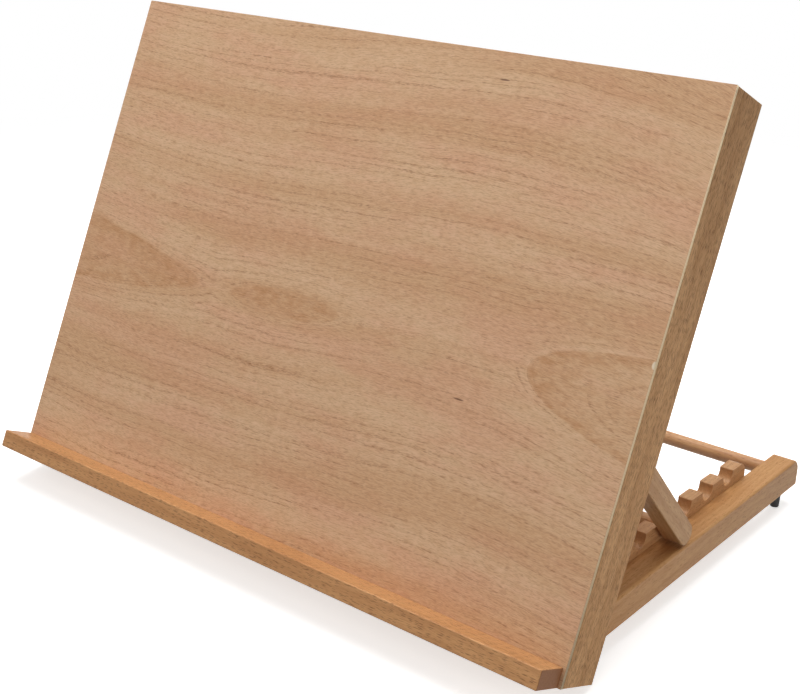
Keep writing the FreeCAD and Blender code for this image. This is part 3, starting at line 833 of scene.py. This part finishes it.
# %% Specks and chip
speck_tone = tint(92, 50, 30)
bared_core_tone = tint(232, 214, 188)
speck_places = ((112 * MM, 418 * MM), (152 * MM, 172 * MM))
speck_half_size = (5 * MM, 0.8 * MM)
speck_share = 0.75
chip_place = (half_face - 0.6 * MM, chip_height)
chip_half_size = (2.0 * MM, 3.2 * MM)


def speck(middle, half_size):
    """1 inside a small ellipse on the sheet, with a soft edge."""
    across = reckon(tree, "DIVIDE", reckon(tree, "SUBTRACT", x, middle[0]), half_size[0])
    up = reckon(tree, "DIVIDE", reckon(tree, "SUBTRACT", u, middle[1]), half_size[1])
    distance = reckon(tree, "ADD", times(tree, across, across), times(tree, up, up))
    return rescale(tree, distance, 1.3, 0.3)


for middle in speck_places:
    mark = times(tree, speck(middle, speck_half_size), speck_share)
    colour = mixed(tree, mark, colour, speck_tone)
colour = mixed(tree, speck(chip_place, chip_half_size), colour, bared_core_tone)
print("faults on the face:", len(speck_places), "specks and one chip")

# %% [markdown]
# ## The edge of the plies with a painted highlight, and the polish
# The edge of the sheet shows its plies: two thin leaves with the core between them, all of them
# paler than the face. Part of that paleness is the pale wood of the plies, and part is a painted
# highlight: the edge is made nearly white where its arris catches the light. Which ply a place
# belongs to follows from its depth below the face. The polish comes last. Fibre and rays make it
# uneven, and the rays are pressed in by a few hundredths of a millimetre.

# %% Ply edge and polish
# The edge tones are pale ply wood made nearly white, a painted highlight for the arris that catches the light.
leaf_edge_and_highlight_tone = tint(242, 222, 184)
core_edge_and_highlight_tone = tint(236, 212, 172)
core_grain_tone = tint(190, 160, 120)
glue_line = 0.05 * MM
front_share = rescale(tree, reckon(tree, "ABSOLUTE", looks_out), 0.25, 0.7)
depth = times(tree, above, -1.0)
core = times(tree, rescale(tree, depth, leaf - glue_line, leaf + glue_line),
             rescale(tree, depth, sheet_depth - leaf + glue_line, sheet_depth - leaf - glue_line))
core_grain = cloud(tree, stretched(tree, place, (700, 700, 2500)), 2.0)
edge_colour_and_highlight = mixed(tree, core, leaf_edge_and_highlight_tone, core_edge_and_highlight_tone)
core_grain_share = rescale(tree, core_grain, 0.4, 0.7, 0.0, 0.3)
edge_colour_and_highlight = mixed(tree, core_grain_share, edge_colour_and_highlight, core_grain_tone)
colour = mixed(tree, front_share, edge_colour_and_highlight, colour)
tree.links.new(colour, shader.inputs["Base Color"])

rough = reckon(tree, "MULTIPLY_ADD", fibre, 0.16, 0.50)
rough = reckon(tree, "MULTIPLY_ADD", all_dashes, 0.10, rough, clamp=True)
tree.links.new(rough, shader.inputs["Roughness"])
relief(tree, shader, reckon(tree, "MULTIPLY_ADD", all_dashes, -0.8, fibre), 0.07 * MM, 0.6)
face_sheet.data.materials.append(veneer)
print("the veneer has", len(tree.nodes), "nodes")

# %% [markdown]
# ## Brass and steel
# The hinges are pressed brass, and the screws are bright zinc on steel. Metal is told by its polish
# more than by its colour. A plain shiny metal would look new and false, so fine scratches spread the
# reflection, and a dull bloom lies where fingers and air have been.

# %% Mix the metals
def metal(name, bright, dull, roughness, bloom):
    """Worn sheet metal with fine scratches and a patchy bloom."""
    material, tree, shader = new_material(name)
    place, _ = coordinates(tree)
    patch_cloud = cloud(tree, stretched(tree, place, (160, 160, 160)), 4.0, 0.6)
    patches = rescale(tree, patch_cloud, 0.40, 0.68)
    scratches = cloud(tree, stretched(tree, place, (260, 5200, 5200)), 2.0, 0.6)
    colour = mixed(tree, times(tree, patches, bloom), bright, dull)
    tree.links.new(colour, shader.inputs["Base Color"])
    shader.inputs["Metallic"].default_value = 1.0
    rough = reckon(tree, "MULTIPLY_ADD", patches, 0.2, roughness)
    rough = reckon(tree, "MULTIPLY_ADD", scratches, 0.12, rough, clamp=True)
    tree.links.new(rough, shader.inputs["Roughness"])
    relief(tree, shader, scratches, 0.02 * MM, 0.5)
    return material


brass = metal("pressed brass", tint(214, 178, 108), tint(150, 112, 62), 0.24, 0.6)
zinc = metal("zinc on steel", tint(196, 196, 192), tint(138, 140, 140), 0.26, 0.5)
print("metals mixed:", brass.name, "and", zinc.name)

# %% [markdown]
# ## Rubber for the feet
# The feet are moulded rubber, nearly black and dull. An even black would look like a hole in the
# floor, so it gets fine pits from the mould, which catch the light, and a little dust.

# %% Mix the rubber
black_tone = tint(22, 21, 21)
dust_tone = tint(52, 49, 46)
rubber, tree, shader = new_material("moulded rubber")
place, _ = coordinates(tree)
pits = cloud(tree, stretched(tree, place, (2600, 2600, 2600)), 3.0, 0.6)
dust = rescale(tree, cloud(tree, stretched(tree, place, (220, 220, 220)), 3.0, 0.6), 0.42, 0.7)
colour = mixed(tree, times(tree, dust, 0.35), black_tone, dust_tone)
tree.links.new(colour, shader.inputs["Base Color"])
tree.links.new(reckon(tree, "MULTIPLY_ADD", dust, 0.2, 0.5), shader.inputs["Roughness"])
relief(tree, shader, pits, 0.05 * MM, 0.6)
print("rubber mixed:", rubber.name)

# %% [markdown]
# ## Dress the five sticks and every other piece
# The frame's own pieces keep their shape here and only change their finish. Each one takes the
# material whose grain runs along it: the rails of the base and the notched strips run front to
# back, and the cross rails, the bar and the round rod run from side to side. What isn't wood is
# told by its name: hinges are brass, feet are rubber, and all that is left is zinc.

# %% Materials onto pieces
finishes = {
    "base_side_rail_left": base_beech,
    "base_side_rail_right": base_beech,
    "base_front_rail": base_cross_beech,
    "base_rear_dowel": dowel_beech,
    "base_frame_dowels": dowel_beech,
    "board_frame_dowels": dowel_beech,
    "ledge_dowels": dowel_beech,
    "ratchet_strip_left": ratchet_beech,
    "ratchet_strip_right": ratchet_beech,
    "prop_leg_left": leg_beech,
    "prop_leg_right": leg_beech,
    "prop_bar": dowel_beech,
}
stick_finishes = {
    "left_side_of_board": (side_beech, "frame_beech"),
    "right_side_of_board": (side_beech, "frame_beech"),
    "top_of_board": (cross_beech, "frame_beech"),
    "foot_of_board": (cross_beech, "frame_beech"),
    "ledge": (ledge_beech, "ledge_beech"),
}
for stick_name, (finish, slot) in stick_finishes.items():
    sticks[stick_name].data.materials.append(finish)

stood_for = set(stick_places.values()) | {"face_panel"}
for node, piece in nodes.items():
    if node in stood_for:
        continue
    finish = finishes.get(node)
    if finish is None and node.startswith("hinge_") and not node.startswith("hinge_screws"):
        finish = brass
    if finish is None and node.startswith("foot_") and node != "foot_screws":
        finish = rubber
    if finish is None:
        finish = zinc
    piece.data.materials.clear()
    piece.data.materials.append(finish)
    print(node, "->", finish.name)

# %% [markdown]
# ## The floor
# Such an easel shows best on white paper. A studio would hang a roll that curves up behind it, but
# that works from one side only. So the floor is one pale round sheet, with faint fibres and no
# gloss. It glows a little everywhere, and far out it only glows, so it stays white where the lights
# no longer reach.

# %% The paper floor
FLOOR_RADIUS = 9.0
FLOOR_RINGS = 6
FLOOR_SPOKES = 64


def disc(name, radius, height):
    """A flat round sheet made of rings of quads around one middle point."""
    shape = bmesh.new()
    middle = shape.verts.new((0, 0, height))
    inner = None
    for ring in range(1, FLOOR_RINGS + 1):
        reach = radius * ring / FLOOR_RINGS
        angles = [2 * math.pi * k / FLOOR_SPOKES for k in range(FLOOR_SPOKES)]
        outer = [shape.verts.new((reach * math.cos(a), reach * math.sin(a), height)) for a in angles]
        for k in range(FLOOR_SPOKES):
            after = (k + 1) % FLOOR_SPOKES
            if inner is None:
                shape.faces.new((middle, outer[k], outer[after]))
            else:
                shape.faces.new((inner[k], outer[k], outer[after], inner[after]))
        inner = outer
    return mesh_piece(name, shape)


floor = disc("floor", FLOOR_RADIUS, 0.0)
paper, tree, shader = new_material("white paper")
place, _ = coordinates(tree)
east, north, _ = parts_of(tree, place)
reach_squared = reckon(tree, "ADD", reckon(tree, "POWER", east, 2.0), reckon(tree, "POWER", north, 2.0))
far = rescale(tree, reckon(tree, "SQRT", reach_squared), 0.5, 1.8)
fibres = rescale(tree, cloud(tree, stretched(tree, place, (90, 90, 90)), 3.0), 0.3, 0.7, 0.0, 0.5)
white = mixed(tree, fibres, tint(247, 247, 246), tint(244, 244, 243))
tree.links.new(mixed(tree, far, white, tint(0, 0, 0)), shader.inputs["Base Color"])
shader.inputs["Roughness"].default_value = 0.9
shader.inputs["Specular IOR Level"].default_value = 0.0
shader.inputs["Emission Color"].default_value = (1.0, 1.0, 1.0, 1.0)
tree.links.new(reckon(tree, "MULTIPLY_ADD", far, 0.42, 0.58), shader.inputs["Emission Strength"])
floor.visible_diffuse = False
floor.data.materials.append(paper)
print("the floor is", 2 * FLOOR_RADIUS, "m across")

# %% [markdown]
# ## The backdrop
# A large pale shell stands round the whole studio, so that any camera sees white beyond the floor.
# The shell is hidden from the light itself, so it doesn't change how the wood is lit.

# %% The white shell
SHELL_RADIUS = 9.5
shell_shape = bmesh.new()
bmesh.ops.create_uvsphere(shell_shape, u_segments=48, v_segments=24, radius=SHELL_RADIUS)
shell = mesh_piece("studio_shell", shell_shape)
glow, tree, shader = new_material("studio white")
shader.inputs["Base Color"].default_value = (0, 0, 0, 1)
shader.inputs["Emission Color"].default_value = (1, 1, 1, 1)
shader.inputs["Emission Strength"].default_value = 1.0
shell.data.materials.append(glow)
for sight in ("visible_diffuse", "visible_glossy", "visible_transmission", "visible_shadow"):
    setattr(shell, sight, False)
print("the shell stands", SHELL_RADIUS, "m away")

# %% [markdown]
# ## The lights
# Wood looks its best under big soft lights, because one hard lamp would throw black shadows behind
# the board. There are four: one in front and a little to the left, one high above, a weak one behind
# that lifts the far edges, and a very small one low at the right that reaches under the board. An
# even pale sky fills the shadows.

# %% Lights
studio = bpy.data.worlds.new("soft studio")
bpy.context.scene.world = studio
studio.use_nodes = True
sky = studio.node_tree.nodes["Background"]
sky.inputs["Color"].default_value = (1.0, 0.99, 0.98, 1.0)
sky.inputs["Strength"].default_value = 0.27


def softbox(name, place, aim, side, power):
    """A square area light that looks at a point."""
    lamp = bpy.data.lights.new(name, "AREA")
    lamp.shape = "SQUARE"
    lamp.size = side
    lamp.energy = power
    holder = bpy.data.objects.new(name, lamp)
    bpy.context.scene.collection.objects.link(holder)
    holder.location = place
    holder.rotation_euler = (Vector(aim) - Vector(place)).to_track_quat("-Z", "Y").to_euler()
    holder.visible_camera = False
    print(f"{name}: {power} W over {side} m")


middle_of_face = on_board @ Vector((0, sheet_height / 2, 0))
softbox("front left light", (-0.9, -2.1, 1.7), middle_of_face, 1.6, 16)
softbox("top light", (-0.1, 0.0, 2.4), middle_of_face, 1.8, 50)
softbox("back light", (0.2, 2.2, 1.1), (0.0, 0.1, 0.15), 1.6, 10)
softbox("low right light", (0.85, -0.2, 0.12), (0.3, -0.1, 0.1), 0.3, 1.0)
bpy.context.scene.view_settings.view_transform = "Standard"

# %% [markdown]
# ## The camera
# The easel is seen from its right front corner and a little above, as a buyer would look down at it
# on a table. The camera's place is given in metres, and three turns aim it: its bearing, how far it
# looks down, and a small roll, as if it was held by hand. A wide lens would stretch the near
# corner, so this one is long, and near and far corners differ in size only a little.

# %% Camera
camera_place = Vector((0.712460, -0.923749, 0.589027))
bearing = math.radians(38.030)
look_down = math.radians(20.765)
roll = math.radians(1.7287)
lens = bpy.data.cameras.new("short telephoto")
lens.sensor_width = 36.0
lens.lens = 62.118
lens.clip_end = 60.0
camera = bpy.data.objects.new("camera", lens)
bpy.context.scene.collection.objects.link(camera)
level_turn = Matrix.Rotation(bearing, 4, "Z") @ Matrix.Rotation(math.radians(90) - look_down, 4, "X")
camera.matrix_world = Matrix.Translation(camera_place) @ level_turn @ Matrix.Rotation(roll, 4, "Z")
bpy.context.scene.camera = camera
print("camera at", [round(value, 3) for value in camera.location])
